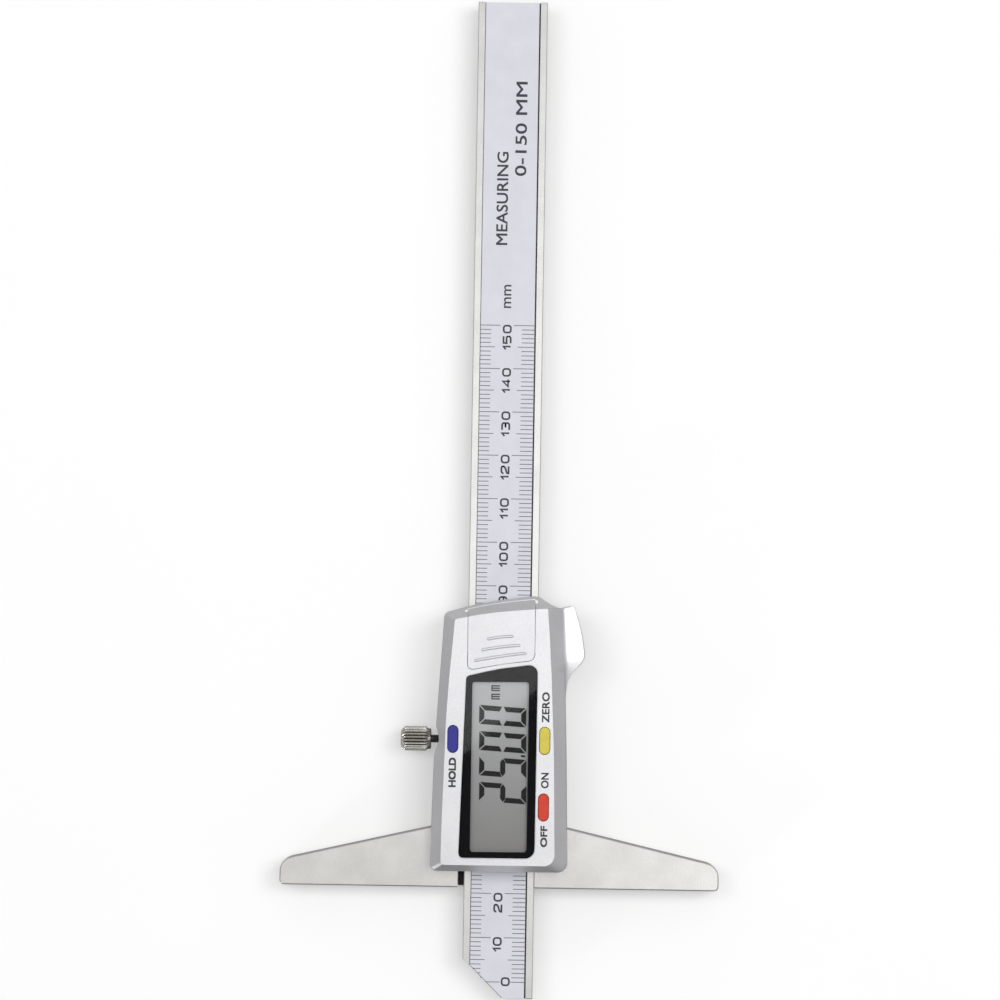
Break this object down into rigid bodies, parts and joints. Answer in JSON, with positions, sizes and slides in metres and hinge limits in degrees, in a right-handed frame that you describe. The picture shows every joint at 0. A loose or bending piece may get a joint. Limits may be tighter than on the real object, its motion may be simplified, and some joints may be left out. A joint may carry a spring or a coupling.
{
  "type": "digital depth gauge",
  "caption": "Digital depth gauge for tyre tread: steel base and graduated beam, lock screw, slider with LCD, push buttons and a sliding battery cover.",
  "frame": {"origin": "middle of the bounding box in X and Y at rest, on the plane of the flat back that the gauge lies on", "axes": "+X across the measuring base to the right as the display is seen, +Y along the beam from its tip to its tail, +Z out of the display"},
  "size_m": [0.1, 0.229, 0.0159],
  "materials": {
    "ground_steel": "fine ground stainless steel",
    "screw_steel": "turned steel",
    "dark_steel": "blackened steel",
    "nickel": "nickel plated",
    "silver_paint": "silver metallic lacquer on moulded plastic",
    "scale_film": "satin printed film",
    "black_board": "matt black laminate",
    "green_board": "solder resist",
    "black_ink": "gloss black print",
    "clear_lens": "clear acrylic",
    "lcd_grey": "satin polariser",
    "white_plastic": "matt",
    "black_rubber": "matt",
    "ceramic": "matt ceramic",
    "blue_plastic": "satin",
    "yellow_plastic": "satin",
    "red_plastic": "satin"
  },
  "bodies": {
    "slider": {"base": "ground_steel", "slider_frame": "ground_steel", "base_screw_1": "dark_steel", "base_screw_2": "dark_steel", "base_screw_3": "dark_steel", "base_screw_4": "dark_steel", "gib_strip": "dark_steel", "gib_screw_1": "dark_steel", "gib_screw_2": "dark_steel", "housing": "silver_paint", "housing_screw_1": "dark_steel", "housing_screw_2": "dark_steel", "housing_screw_3": "dark_steel", "housing_screw_4": "dark_steel", "display_window": "clear_lens", "display_mask": "black_ink", "lcd_glass": "lcd_grey", "lcd_holder": "white_plastic", "zebra_connector_1": "black_rubber", "zebra_connector_2": "black_rubber", "main_board": "green_board", "board_screw_1": "screw_steel", "board_screw_2": "screw_steel", "controller_chip": "black_board", "crystal": "nickel", "capacitor_1": "ceramic", "capacitor_2": "ceramic", "hold_dome": "nickel", "zero_dome": "nickel", "power_dome": "nickel", "battery_cell": "nickel", "battery_contact_negative": "nickel", "battery_contact_positive": "nickel"},
    "beam": {"beam": "ground_steel", "scale_strip": "black_board", "scale_label": "scale_film", "end_stop_plate": "ground_steel", "stop_screw_1": "dark_steel", "stop_screw_2": "dark_steel"},
    "lock_screw": {"lock_screw": "nickel"},
    "hold_button": {"hold_button": "blue_plastic"},
    "zero_button": {"zero_button": "yellow_plastic"},
    "power_button": {"power_button": "red_plastic"},
    "battery_cover": {"battery_cover": "silver_paint"}
  },
  "joints": [
    {"name": "beam_slide", "type": "slide", "parent": "slider", "child": "beam", "axis": [0, -1, 0], "range_m": [-0.025, 0.125]},
    {"name": "lock_screw_turn", "type": "hinge", "parent": "slider", "child": "lock_screw", "pos_m": [-0.01605, -0.0559, 0.00475], "axis": [1, 0, 0], "range_deg": [-360, 90]},
    {"name": "hold_press", "type": "slide", "parent": "slider", "child": "hold_button", "axis": [0, 0, -1], "range_m": [0, 0.0005], "stiffness_N_per_m": 400, "springref_m": -0.0005},
    {"name": "zero_press", "type": "slide", "parent": "slider", "child": "zero_button", "axis": [0, 0, -1], "range_m": [0, 0.0005], "stiffness_N_per_m": 400, "springref_m": -0.0005},
    {"name": "power_press", "type": "slide", "parent": "slider", "child": "power_button", "axis": [0, 0, -1], "range_m": [0, 0.0005], "stiffness_N_per_m": 400, "springref_m": -0.0005},
    {"name": "battery_cover_slide", "type": "slide", "parent": "slider", "child": "battery_cover", "axis": [0, 1, 0], "range_m": [0, 0.015]}
  ]
}
